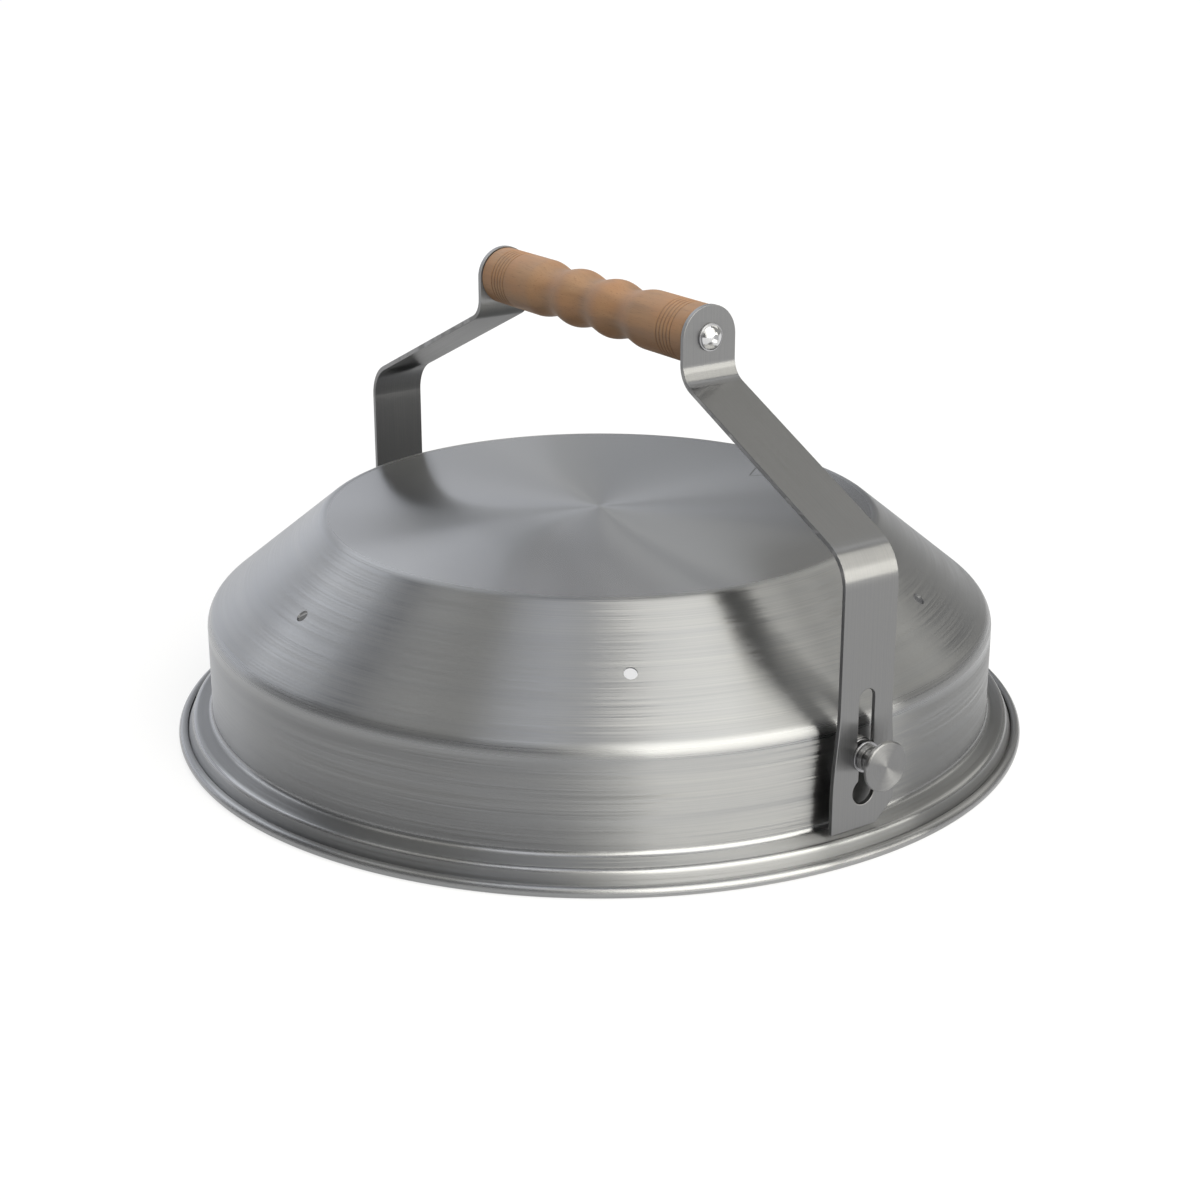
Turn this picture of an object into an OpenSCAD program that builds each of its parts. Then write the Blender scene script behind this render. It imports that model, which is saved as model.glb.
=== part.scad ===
// Spun steel baking dome with a fold-down strap handle and a turned wooden grip.
// It rests on its rolled rim, and +Z is up. The right-hand arm is on the +X side,
// and the handle folds towards +Y about the axis of the two thumb screws.

/* [Dome] */
// Outer diameter of the upright skirt
skirt_d = 330.8; // [290:0.2:400]
// Height of the flat top above the table
dome_h = 91.7; // [85:0.1:110]
// Height of the shoulder, where the cone meets the skirt
shoulder_z = 51.7; // [48:0.1:60]
// Radial run of the cone, from the shoulder in to the flat top
cone_run = 49.2; // [40:0.1:70]
// Thickness of the spun sheet
sheet_t = 1; // [0.6:0.1:1.4]
// Outside bend radius round the flat top
top_bend_r = 5; // [3:0.5:9]
// Outside bend radius of the shoulder
shoulder_bend_r = 8; // [4:0.5:9]

/* [Rim] */
// Height of the ledge where it leaves the skirt
ledge_z = 10.9; // [9.5:0.1:13]
// Width of the ledge round the foot of the skirt
ledge_w = 8.3; // [8:0.1:14]
// Fall of the ledge across its width
ledge_fall = 2.33; // [1.5:0.01:3.5]
// Radius of the fillet between the skirt and the ledge
ledge_fillet_r = 1.8; // [1:0.1:2.4]
// Radius at the outer edge of the ledge
ledge_edge_r = 1.4; // [1.2:0.1:2]
// Radial run from the edge of the ledge to the middle of the bead
bead_run = 4.05; // [3.8:0.05:6]
// Diameter of the rolled bead
bead_d = 4.5; // [4:0.1:5.5]
// Depth of the flat that wear leaves under the bead
bead_flat = 0.1; // [0.05:0.01:0.2]

/* [Vents] */
// Number of vent holes round the cone
vent_count = 6; // [3:1:12]
// Diameter of a vent hole
vent_d = 5.2; // [4:0.1:8]
// Place of the vents up the cone, from 0 at the shoulder to 1 at the flat top
vent_share = 0.5; // [0.3:0.05:0.7]

/* [Arms] */
// Width of the strip that the arms are bent from
strip_w = 25; // [22:0.5:30]
// Thickness of the strip
strip_t = 2; // [1.5:0.1:3]
// Width of the arm at its flared foot
foot_w = 29.6; // [26:0.2:34]
// Gap between the skirt and the arm
arm_gap = 4.7; // [4:0.1:5.4]
// Gap between the ledge and the foot of the arm
foot_gap = 1.1; // [0.6:0.1:2]
// Height of the lower bend above the flat top
low_bend_rise = 24.9; // [20:0.1:45]
// Outside radius of the lower bend
low_bend_r = 18; // [8:0.5:22]
// Height of the upper bend above the lower bend
high_bend_rise = 46.3; // [30:0.1:70]
// Radius of the upper bend on the upper face
high_bend_r = 9; // [5:0.5:14]
// Height of the grip's axis above the upper bend
grip_rise = 15.2; // [14.5:0.1:25]

/* [Keyhole] */
// Drop from the shoulder to the axis of the thumb screws
pivot_drop = 12.4; // [12:0.1:14]
// Travel of the handle from its clamped place to the round hole
lift = 14.1; // [10:0.1:15]
// Diameter of the round hole in the arm
hole_d = 10.5; // [9:0.1:12]
// Width of the narrow channel above the round hole
channel_w = 5.3; // [5.2:0.1:6.5]
// Width of the upper slot
slot_w = 7.75; // [6:0.05:9]
// Reach of the upper slot above the thumb screw's axis
slot_reach = 26.7; // [15:0.1:32]

/* [Thumb screws] */
// Diameter of the turned disc
knob_d = 19.4; // [16:0.1:24]
// Height of the disc's face above the arm
knob_h = 12; // [10:0.1:16]
// Thickness of the disc
disc_t = 2.1; // [1.6:0.1:3]
// Chamfer round the disc
disc_chamfer = 0.45; // [0.2:0.05:0.7]
// Diameter of the collar that bears on the washer
collar_d = 10; // [8.5:0.1:11]
// Thickness of the collar
collar_t = 2; // [1:0.1:2.5]
// Diameter of the neck
neck_d = 7.4; // [6:0.1:8]
// Diameter of the shank
shank_d = 5; // [4:0.1:5]

/* [Pivot hardware] */
// Diameter of the washers on each side of the arm
washer_d = 12; // [11:0.1:13]
// Thickness of the washers on each side of the arm
washer_t = 0.8; // [0.5:0.1:1]
// Diameter of the boss outside the skirt
boss_d = 13; // [11:0.1:14]
// Diameter of the boss where it passes through the skirt
spigot_d = 9; // [7.5:0.1:10]
// Diameter of the washer inside the skirt
back_washer_d = 15; // [13:0.1:16]
// Thickness of the washer inside the skirt
back_washer_t = 1; // [0.8:0.1:1.6]
// Width across the flats of the nut inside the skirt
nut_af = 13; // [12:0.1:14]
// Thickness of the nut inside the skirt
nut_t = 4; // [3:0.1:5]
// Length of the boss that stands past its nut
nut_proud = 1; // [0.5:0.1:1.5]
// Thickness of the boss's closed inner end, which keeps the threads clean
boss_floor_t = 1.2; // [0.8:0.1:1.6]
// Gap between the end of the shank and the closed end of the boss
shank_gap = 0.8; // [0.4:0.1:1.2]

/* [Grip] */
// Length of the wooden grip
grip_len = 144; // [130:1:180]
// Diameter of the grip at its ends and swells
grip_d = 24; // [22:0.5:26]
// Depth of the finger valleys
valley_depth = 2; // [0.5:0.1:3]
// Spacing of the finger valleys
valley_pitch = 25.5; // [20:0.5:28]
// Distance from the grip's end to the first ring groove
groove_start = 8; // [4:0.5:10]
// Spacing of the ring grooves
groove_pitch = 2.2; // [1.6:0.1:2.4]
// Width of a ring groove
groove_w = 1; // [0.5:0.1:1.4]
// Depth of a ring groove
groove_depth = 0.5; // [0.2:0.1:0.8]
// Chamfer on the grip's ends
grip_chamfer = 0.8; // [0.4:0.1:1.5]

/* [Grip screws] */
// Diameter of the grip screw's shank
grip_screw_d = 5; // [4:0.1:6]
// Length of the grip screw's shank under its head
grip_screw_len = 16; // [12:0.5:18]
// Diameter of the button head
head_d = 9.5; // [8:0.1:11]
// Height of the button head
head_h = 2.75; // [2:0.05:3.5]
// Width across the flats of the hex socket
socket_af = 3; // [2.5:0.1:4]
// Depth of the hex socket
socket_depth = 1.6; // [1:0.1:1.8]
// Diameter of the washer under the button head
grip_washer_d = 11; // [10:0.1:14]
// Thickness of the washer under the button head
grip_washer_t = 1; // [0.6:0.1:1.6]
// Diameter of the threaded insert in the grip
insert_d = 8; // [7.5:0.1:10]
// Length of the threaded insert
insert_len = 15; // [12:0.5:20]

/* [Fits] */
// Radial clearance of a shaft that turns in a bore
running_gap = 0.05; // [0.03:0.01:0.08]
// Gap between flat faces that slide past each other
slide_gap = 0.2; // [0.15:0.05:0.3]
// Gap between fixed faces
seat_gap = 0.05; // [0.03:0.01:0.1]
// Clearance of the foot over the ledge as the handle folds
swing_gap = 0.3; // [0.2:0.05:0.5]

/* [Hidden] */
$fn = 96;

// How far a cutter runs past the face it cuts
overrun = 2;
// Steps in each rounded bend, in the bead and along the shaped grip
bend_steps = 8;
bead_steps = 18;
grip_steps = 12;
// Angle of the first vent from +X, and the angle where the bead's curl ends
vent_turn = 30;
curl_end = 490;
// Number of finger valleys, and of ring grooves at each end of the grip
valley_count = 3;
groove_count = 5;
// Rise of the disc's tapered back as a share of its overhang, and height of the
// button head's straight edge as a share of the head's height
disc_back_share = 0.17;
head_edge_share = 0.2;

// Dome, measured from its axis
skirt_r = skirt_d / 2;
top_r = skirt_r - cone_run;
cone_angle = atan2(dome_h - shoulder_z, cone_run);
ledge_r = skirt_r + ledge_w;
bead_r = bead_d / 2;
bead_mid = [ledge_r + bead_run, bead_r - bead_flat];
flat_turn = acos((bead_r - bead_flat) / bead_r);

// Heights and places of the handle
pivot_z = shoulder_z - pivot_drop;
arm_in = skirt_r + arm_gap;
arm_out = arm_in + strip_t;
ledge_under_arm = ledge_z - ledge_fall * arm_gap / ledge_w;
foot_z = ledge_under_arm + foot_gap;
low_bend_z = dome_h + low_bend_rise;
high_bend_z = low_bend_z + high_bend_rise;
grip_z = high_bend_z + grip_rise;
grip_end = grip_len / 2;
grip_arm_in = grip_end + seat_gap;
grip_arm_out = grip_arm_in + strip_t;

// The foot's flat runs as far as its corner clears the ledge when the handle folds
swing_r = pivot_z - ledge_under_arm - swing_gap;
foot_flat = sqrt(pow(swing_r, 2) - pow(pivot_z - foot_z, 2));
flare_top_z = pivot_z + slot_reach - hole_d / 2;
flare_low_z = pivot_z - lift;

// Stack of pieces on the thumb screw, outwards from the skirt
inner_washer_x = arm_in - slide_gap - washer_t;
boss_face_x = inner_washer_x - slide_gap / 2;
outer_washer_x = arm_out + slide_gap;
collar_x = outer_washer_x + washer_t + slide_gap / 2;
knob_face_x = arm_out + knob_h;

// Stack of pieces inwards from the skirt
back_washer_r = back_washer_d / 2;
back_washer_x = sqrt(pow(skirt_r - sheet_t, 2) - pow(back_washer_r, 2)) - seat_gap - back_washer_t;
nut_x = back_washer_x - seat_gap - nut_t;
spigot_end_x = nut_x - nut_proud;
bore_end_x = spigot_end_x + boss_floor_t;
shank_end_x = bore_end_x + shank_gap;

function unit(v) = v / norm(v);
function right_of(v) = [v[1], -v[0]] / norm(v);
function turn(a, b, c) = cross(b - a, c - b);
function last(list) = list[len(list) - 1];
function reversed(list) = [for (i = [len(list) - 1 : -1 : 0]) list[i]];

// Points of an arc about a centre, in degrees
function arc(centre, r, from, to, steps) =
    [for (i = [0 : steps]) let(a = from + (to - from) * i / steps) centre + r * [cos(a), sin(a)]];

// Arc that rounds the corner at b, on the way from a to c
function corner(a, b, c, r) =
    let(back = unit(a - b), ahead = unit(c - b), half = acos(back * ahead) / 2,
        centre = b + unit(back + ahead) * r / sin(half),
        start = b + back * r / tan(half) - centre,
        from = atan2(start[1], start[0]),
        sweep = sign(turn(a, b, c)) * (180 - 2 * half))
    arc(centre, r, from, from + sweep, bend_steps);

// A path with its inner corners rounded, one radius for each inner corner
function rounded(path, radii) = concat([path[0]],
    [for (i = [1 : len(path) - 2]) each corner(path[i - 1], path[i], path[i + 1], radii[i - 1])],
    [last(path)]);

// The path's other face, a distance d to its right, with mitred corners
function beside(path, d) = [for (i = [0 : len(path) - 1])
    let(before = right_of(i == 0 ? path[1] - path[0] : path[i] - path[i - 1]),
        after = right_of(i == len(path) - 1 ? path[i] - path[i - 1] : path[i + 1] - path[i]),
        mitre = unit(before + after))
    path[i] + mitre * d / (mitre * before)];

// Bend radii on the face that lies a distance d to the right
function beside_radii(path, radii, d) = [for (i = [0 : len(radii) - 1])
    radii[i] + d * sign(turn(path[i], path[i + 1], path[i + 2]))];

// Outline of the spun sheet: flat top, cone, skirt, ledge, and the curl of the bead
function dome_outline() =
    let(edge = [ledge_r, ledge_z - ledge_fall],
        to_edge = edge - bead_mid,
        inside_r = bead_r - sheet_t,
        from = atan2(to_edge[1], to_edge[0]) + acos(inside_r / norm(to_edge)),
        outer = [[0, dome_h], [top_r, dome_h], [skirt_r, shoulder_z], [skirt_r, ledge_z], edge,
            bead_mid + inside_r * [cos(from), sin(from)]],
        radii = [top_bend_r, shoulder_bend_r, ledge_fillet_r, ledge_edge_r],
        inner = beside(outer, sheet_t))
    concat(rounded(outer, radii),
        arc(bead_mid, inside_r, from, curl_end, bead_steps),
        reversed(concat(rounded(inner, beside_radii(outer, radii, sheet_t)),
            arc(bead_mid, bead_r, from, 270 - flat_turn, bend_steps),
            arc(bead_mid, bead_r, 270 + flat_turn, curl_end, bead_steps))));

// Side view of one arm: foot, lower bend, slope, upper bend and upright end
function arm_profile() =
    let(outer = [[arm_out, foot_z], [arm_out, low_bend_z], [grip_arm_out, high_bend_z],
            [grip_arm_out, grip_z + strip_w]],
        radii = [low_bend_r, high_bend_r])
    concat(rounded(outer, radii),
        reversed(rounded(beside(outer, -strip_t), beside_radii(outer, radii, -strip_t))));

// Half width of the arm at a height: it swells smoothly from the strip to the foot
function arm_half(z) =
    let(share = min(1, max(0, (flare_top_z - z) / (flare_top_z - flare_low_z))))
    strip_w / 2 + (foot_w - strip_w) / 2 * (1 - cos(180 * share)) / 2;

// Front view of one arm: flared foot, round top, and the corner that clears the ledge
function arm_outline() =
    let(sides = [for (i = [0 : grip_steps]) let(z = flare_low_z + (flare_top_z - flare_low_z)
            * i / grip_steps) [arm_half(z), z]],
        half = foot_w / 2)
    concat([[-half, foot_z]], [for (p = sides) [-p[0], p[1]]],
        arc([0, grip_z], strip_w / 2, 180, 0, 2 * grip_steps), reversed(sides),
        [[half, foot_z + half - foot_flat], [foot_flat, foot_z]]);

// Radius of the grip at a distance x from its middle, without the ring grooves
function grip_radius(x) = grip_d / 2
    - (abs(x) < valley_pitch * valley_count / 2 ? valley_depth * (1 + cos(360 * x / valley_pitch)) / 2 : 0);

// One half of the grip's outline, from its middle to its end, with the ring grooves
function grip_half() =
    let(shaped = valley_pitch * valley_count / 2, steps = grip_steps * valley_count,
        first = grip_end - groove_start - groove_pitch * (groove_count - 1))
    concat([for (i = [0 : steps]) let(x = shaped * i / steps) [grip_radius(x), x]],
        [for (i = [0 : groove_count - 1]) let(x = first + groove_pitch * i)
            each [[grip_d / 2, x - groove_w / 2], [grip_d / 2 - groove_depth, x], [grip_d / 2, x + groove_w / 2]]],
        [[grip_d / 2, grip_end - grip_chamfer], [grip_d / 2 - grip_chamfer, grip_end]]);

// Places a piece that is drawn along +Z so that it points outwards along +X
module outwards(x, z) { translate([x, 0, z]) rotate([0, 90, 0]) children(); }

module on_left() { mirror([1, 0, 0]) children(); }

module ring(outer_d, bore_d, t) {
    difference() {
        cylinder(d = outer_d, h = t);
        translate([0, 0, -overrun]) cylinder(d = bore_d, h = t + 2 * overrun);
    }
}

module dome() {
    vent_r = skirt_r - cone_run * vent_share;
    vent_z = shoulder_z + (dome_h - shoulder_z) * vent_share;
    color("lightgrey") difference() {
        rotate_extrude($fn = 180) polygon(dome_outline());
        for (i = [0 : vent_count - 1]) rotate([0, 0, vent_turn + 360 * i / vent_count])
            translate([vent_r, 0, vent_z]) rotate([0, cone_angle, 0])
                translate([0, 0, -sheet_t - overrun]) cylinder(d = vent_d, h = sheet_t + 2 * overrun);
        for (turned = [0, 180]) rotate([0, 0, turned]) outwards(skirt_r - sheet_t - overrun, pivot_z)
            cylinder(d = spigot_d + 2 * seat_gap, h = sheet_t + 2 * overrun);
    }
}

// Threaded boss that carries the thumb screw, closed on the food side
module pivot_boss() {
    seat_x = skirt_r + seat_gap;
    color("silver") difference() {
        union() {
            outwards(seat_x, pivot_z) cylinder(d = boss_d, h = boss_face_x - seat_x);
            outwards(spigot_end_x, pivot_z) cylinder(d = spigot_d, h = seat_x - spigot_end_x + seat_gap);
        }
        outwards(bore_end_x, pivot_z)
            cylinder(d = shank_d + 2 * running_gap, h = boss_face_x - bore_end_x + overrun);
    }
}

module boss_washer() {
    color("gainsboro") outwards(back_washer_x, pivot_z)
        ring(back_washer_d, spigot_d + 2 * seat_gap, back_washer_t);
}

module boss_nut() {
    color("darkgrey") outwards(nut_x, pivot_z) difference() {
        cylinder(d = nut_af / cos(30), h = nut_t, $fn = 6);
        translate([0, 0, -overrun]) cylinder(d = spigot_d + 2 * seat_gap, h = nut_t + 2 * overrun);
    }
}

// Turned thumb screw: disc, tapered back, neck, collar and shank
module knob() {
    disc_x = knob_face_x - disc_t;
    back_x = disc_x - disc_back_share * (knob_d - neck_d) / 2;
    color("whitesmoke") outwards(0, pivot_z) rotate_extrude() polygon([
        [0, shank_end_x], [shank_d / 2, shank_end_x], [shank_d / 2, collar_x],
        [collar_d / 2, collar_x], [collar_d / 2, collar_x + collar_t],
        [neck_d / 2, collar_x + collar_t], [neck_d / 2, back_x], [knob_d / 2 - disc_chamfer, disc_x],
        [knob_d / 2, disc_x + disc_chamfer], [knob_d / 2, knob_face_x - disc_chamfer],
        [knob_d / 2 - disc_chamfer, knob_face_x], [0, knob_face_x]]);
}

module outer_washer() {
    color("gainsboro") outwards(outer_washer_x, pivot_z) ring(washer_d, shank_d + 2 * running_gap, washer_t);
}

module inner_washer() {
    color("gainsboro") outwards(inner_washer_x, pivot_z) ring(washer_d, shank_d + 2 * running_gap, washer_t);
}

// Keyhole through the arm's lower end: round hole, narrow channel and wider slot
module keyhole() {
    depth = strip_t + 2 * overrun;
    slot_top = pivot_z + slot_reach - slot_w / 2;
    translate([arm_in - overrun, 0, 0]) {
        outwards(0, flare_low_z) cylinder(d = hole_d, h = depth);
        translate([0, -channel_w / 2, flare_low_z]) cube([depth, channel_w, lift]);
        outwards(0, pivot_z) cylinder(d = slot_w, h = depth);
        outwards(0, slot_top) cylinder(d = slot_w, h = depth);
        translate([0, -slot_w / 2, pivot_z]) cube([depth, slot_w, slot_top - pivot_z]);
    }
}

module arm() {
    color("silver") difference() {
        intersection() {
            rotate([90, 0, 0]) linear_extrude(height = foot_w + 2 * overrun, center = true)
                polygon(arm_profile());
            rotate([90, 0, 90]) linear_extrude(height = arm_out + overrun) polygon(arm_outline());
        }
        keyhole();
        outwards(grip_arm_in - overrun, grip_z)
            cylinder(d = grip_screw_d + 2 * seat_gap, h = strip_t + 2 * overrun);
    }
}

module grip() {
    right_half = grip_half();
    left_half = [for (p = reversed(right_half)) [p[0], -p[1]]];
    bore_depth = insert_len + 2 * seat_gap;
    color("peru") difference() {
        outwards(0, grip_z) rotate_extrude() polygon(concat([[0, -grip_end]], left_half,
            [for (i = [1 : len(right_half) - 1]) right_half[i]], [[0, grip_end]]));
        for (turned = [0, 180]) rotate([0, 0, turned]) outwards(grip_end - bore_depth, grip_z) {
            cylinder(d = insert_d + 2 * seat_gap, h = bore_depth + overrun);
            translate([0, 0, -overrun]) cylinder(d = grip_screw_d + 2 * seat_gap, h = bore_depth);
        }
    }
}

module grip_insert() {
    color("goldenrod") outwards(grip_end - seat_gap - insert_len, grip_z)
        ring(insert_d, grip_screw_d + 2 * seat_gap, insert_len);
}

module grip_washer() {
    color("gainsboro") outwards(grip_arm_out + seat_gap, grip_z)
        ring(grip_washer_d, grip_screw_d + 2 * seat_gap, grip_washer_t);
}

// Button-head screw with a hex socket
module grip_screw() {
    seat_x = grip_arm_out + 2 * seat_gap + grip_washer_t;
    edge_h = head_edge_share * head_h;
    crown_r = (pow(head_d / 2, 2) + pow(head_h - edge_h, 2)) / (2 * (head_h - edge_h));
    color("whitesmoke") outwards(seat_x, grip_z) difference() {
        union() {
            translate([0, 0, -grip_screw_len]) cylinder(d = grip_screw_d, h = grip_screw_len + edge_h);
            rotate_extrude() polygon(concat([[0, 0], [head_d / 2, 0]],
                arc([0, head_h - crown_r], crown_r, asin((crown_r - head_h + edge_h) / crown_r), 90,
                    bend_steps)));
        }
        translate([0, 0, head_h - socket_depth])
            cylinder(d = socket_af / cos(30), h = socket_depth + overrun, $fn = 6);
    }
}

dome();
pivot_boss();  // pivot_boss_right
on_left() pivot_boss();  // pivot_boss_left
boss_washer();  // boss_washer_right
on_left() boss_washer();  // boss_washer_left
boss_nut();  // boss_nut_right
on_left() boss_nut();  // boss_nut_left
knob();  // knob_right
on_left() knob();  // knob_left
outer_washer();  // outer_washer_right
on_left() outer_washer();  // outer_washer_left
inner_washer();  // inner_washer_right
on_left() inner_washer();  // inner_washer_left
arm();  // arm_right
on_left() arm();  // arm_left
grip();
grip_insert();  // grip_insert_right
on_left() grip_insert();  // grip_insert_left
grip_washer();  // grip_washer_right
on_left() grip_washer();  // grip_washer_left
grip_screw();  // grip_screw_right
on_left() grip_screw();  // grip_screw_left
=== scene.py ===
# %% [markdown]
# # A spun steel baking dome with a strap handle
#
# The object is the lid of a small pizza oven: one sheet of stainless steel, spun on a lathe
# into a flat-topped dome, with two bent steel strips that carry a turned wooden grip. The
# solids come from CAD and stay where they are. This script dresses them: it rebuilds the
# pieces whose curves and edges catch the light, and gives every surface a metal or a wood.
#
# Lengths are written in millimetres, as on a drawing, and turned into metres by one factor.

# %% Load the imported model
from math import acos, atan2, cos, degrees, pi, radians, sin, tan

import bmesh
import bpy
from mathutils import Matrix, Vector


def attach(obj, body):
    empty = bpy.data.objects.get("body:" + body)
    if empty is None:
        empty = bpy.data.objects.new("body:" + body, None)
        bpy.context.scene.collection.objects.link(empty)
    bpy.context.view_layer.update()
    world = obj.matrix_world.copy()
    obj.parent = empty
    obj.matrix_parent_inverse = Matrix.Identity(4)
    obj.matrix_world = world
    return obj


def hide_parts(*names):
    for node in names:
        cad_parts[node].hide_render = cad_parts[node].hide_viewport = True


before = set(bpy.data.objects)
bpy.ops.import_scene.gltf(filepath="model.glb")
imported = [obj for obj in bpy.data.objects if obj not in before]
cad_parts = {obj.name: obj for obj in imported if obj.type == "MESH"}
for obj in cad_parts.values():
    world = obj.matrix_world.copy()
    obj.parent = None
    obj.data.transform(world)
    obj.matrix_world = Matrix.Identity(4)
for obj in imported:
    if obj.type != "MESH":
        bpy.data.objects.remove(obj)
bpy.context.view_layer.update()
MM = 0.001

# %% [markdown]
# The camera comes first, because every look is judged through it. It stands a little to the
# right of the dome's front and looks down by twenty degrees, as a person does who is about
# to lift a lid from a table. Its place was worked out from the ellipses that the round rim
# and the flat top make in the picture. A long lens keeps the dome from bulging.

# %% Camera at the picture's angle
EYE = Vector((719.87, -497.16, 363.7)) * MM
AIM = Vector((0.13, 0.19, 49.6)) * MM
FOCAL_LENGTH = 65.16
SENSOR_WIDTH = 36.0
NEAREST, FARTHEST = 0.05, 200.0

camera_data = bpy.data.cameras.new("camera")
camera_data.lens = FOCAL_LENGTH
camera_data.sensor_width = SENSOR_WIDTH
camera_data.clip_start = NEAREST
camera_data.clip_end = FARTHEST
camera = bpy.data.objects.new("camera", camera_data)
camera.location = EYE
camera.rotation_euler = (AIM - EYE).to_track_quat("-Z", "Y").to_euler()
bpy.context.collection.objects.link(camera)
bpy.context.scene.camera = camera
print("camera distance:", round((AIM - EYE).length, 3), "m")

# %% [markdown]
# A material in Blender is a small graph, and so is a Geometry Nodes tree. Writing one out by
# hand takes many lines, so three helpers carry the load. One turns a colour as a painter
# writes it, in sRGB hex, into the linear light values that the renderer adds up. One adds any
# node with its settings and whatever feeds it, so that a graph reads like a list of steps.
# The third opens an empty material.

# %% Helpers for materials and geometry
def linear(colour):
    """Linear colour of an sRGB hex value such as 'c8a070'."""
    parts = [int(colour[i:i + 2], 16) / 255 for i in (0, 2, 4)]
    return [p / 12.92 if p <= 0.04045 else ((p + 0.055) / 1.055) ** 2.4 for p in parts] + [1.0]


def add(tree, kind, feeds=(), **settings):
    """Add a node, set its properties, and feed its inputs, listed in order or by name.

    A feed is a value, an output of another node, or a node, which stands for its first output.
    """
    made = tree.nodes.new(kind)
    for name, value in settings.items():
        setattr(made, name, value)
    for key, value in feeds.items() if isinstance(feeds, dict) else enumerate(feeds):
        source = value.outputs[0] if isinstance(value, bpy.types.Node) else value
        if isinstance(source, bpy.types.NodeSocket):
            tree.links.new(source, made.inputs[key])
        else:
            made.inputs[key].default_value = source
    return made


def new_material(name):
    """A material without any nodes, and the tree that takes them."""
    made = bpy.data.materials.new(name)
    made.use_nodes = True
    made.node_tree.nodes.clear()
    return made, made.node_tree


# A Mix node in its colour mode takes its two colours at these inputs and gives the mix here.
FIRST, SECOND, MIXED = 6, 7, 2
print("white as linear light:", linear("ffffff"))

# %% [markdown]
# The dome stands on a plain pale floor. A photographer's white sweep is lit so brightly that
# it reads as white paper, yet the object still darkens it where it touches. The floor here
# is a grey paint with a white glow added for the camera's rays and for reflections, so that
# the steel mirrors the same white floor that the picture shows. The glow grows with distance,
# because the lamps light only the floor near the dome.

# %% Pale floor
FLOOR_RADIUS = 60.0
FLOOR_SIDES = 64
FLOOR_GAP = 0.1 * MM
FLOOR_PAINT = "848484"
GLOW_NEAR, GLOW_FAR = 0.76, 0.95
GLOW_FROM, GLOW_TO = 0.5, 2.4


def floor_paint():
    """Grey paint that glows white for the camera and for reflections."""
    paint, tree = new_material("floor_paint")
    rays = add(tree, "ShaderNodeLightPath").outputs
    seen = add(tree, "ShaderNodeMath", [rays["Is Camera Ray"], rays["Is Glossy Ray"]], operation="ADD")
    seen = add(tree, "ShaderNodeMath", [seen, rays["Is Transmission Ray"]],
               operation="ADD", use_clamp=True)
    spot = add(tree, "ShaderNodeTexCoord").outputs["Object"]
    away = add(tree, "ShaderNodeVectorMath", [spot], operation="LENGTH").outputs["Value"]
    level = add(tree, "ShaderNodeMapRange", [away, GLOW_FROM, GLOW_TO, GLOW_NEAR, GLOW_FAR])
    glow = add(tree, "ShaderNodeMath", [seen, level], operation="MULTIPLY")
    chalk = add(tree, "ShaderNodeBsdfDiffuse", {"Color": linear(FLOOR_PAINT)})
    white = add(tree, "ShaderNodeEmission", {"Color": linear("ffffff"), "Strength": glow})
    both = add(tree, "ShaderNodeAddShader", [chalk, white])
    add(tree, "ShaderNodeOutputMaterial", {"Surface": both})
    return paint


def pale_floor():
    """A wide disc just under the rim."""
    mesh = bpy.data.meshes.new("floor")
    turns = [2 * pi * i / FLOOR_SIDES for i in range(FLOOR_SIDES)]
    edge = [(FLOOR_RADIUS * cos(turn), FLOOR_RADIUS * sin(turn), -FLOOR_GAP) for turn in turns]
    mesh.from_pydata(edge, [], [list(range(FLOOR_SIDES))])
    mesh.materials.append(floor_paint())
    floor = bpy.data.objects.new("floor", mesh)
    bpy.context.collection.objects.link(floor)
    return floor


pale_floor()
print("floor radius:", FLOOR_RADIUS, "m")

# %% [markdown]
# Metal has no colour of its own to show: it shows the room. The room here is a plain grey
# with a dozen soft boxes, each a flat lamp aimed at the dome. A soft box has a level, which is
# how bright it looks in a mirror, where 1 is white paper. The two boxes of the key light lie
# over each other, because a real soft box is hottest in its middle. They stand at different
# distances: of two lamps in one place, a reflection would count only one.

# %% Soft boxes and a plain room
ROOM_LEVEL = 0.2
WARM, COOL, SKY = "fffdf4", "f7faff", "edf2ff"
SOFTBOXES = [
    # name, azimuth, elevation, distance, width, height, level, colour
    ("key_wide", 0, 32, 2.4, 3.7, 2.77, 1.18, WARM),
    ("key_narrow", 0, 32, 2.3, 2.11, 2.65, 3.0, WARM),
    ("key_high", 18, 68, 2.4, 1.2, 0.5, 1.72, COOL),
    ("overhead", -68, 70, 2.4, 0.75, 1.9, 1.05, SKY),
    ("ceiling", -90, 64, 2.3, 2.4, 1.0, 0.92, WARM),
    ("back_low", 180, 10, 2.5, 3.12, 0.73, 0.5, SKY),
    ("back", 180, 24, 2.4, 3.7, 2.0, 0.61, COOL),
    ("back_high", 180, 40, 2.35, 1.96, 0.98, 1.24, COOL),
    ("back_top", 180, 60, 2.4, 2.0, 0.8, 0.48, COOL),
    ("right", 105, 48, 2.4, 2.0, 2.0, 0.86, WARM),
    ("right_low", 87, 24, 2.5, 4.17, 2.08, 0.2, WARM),
    ("rim", 40, 12, 2.2, 1.0, 0.8, 2.7, WARM),
]


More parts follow.
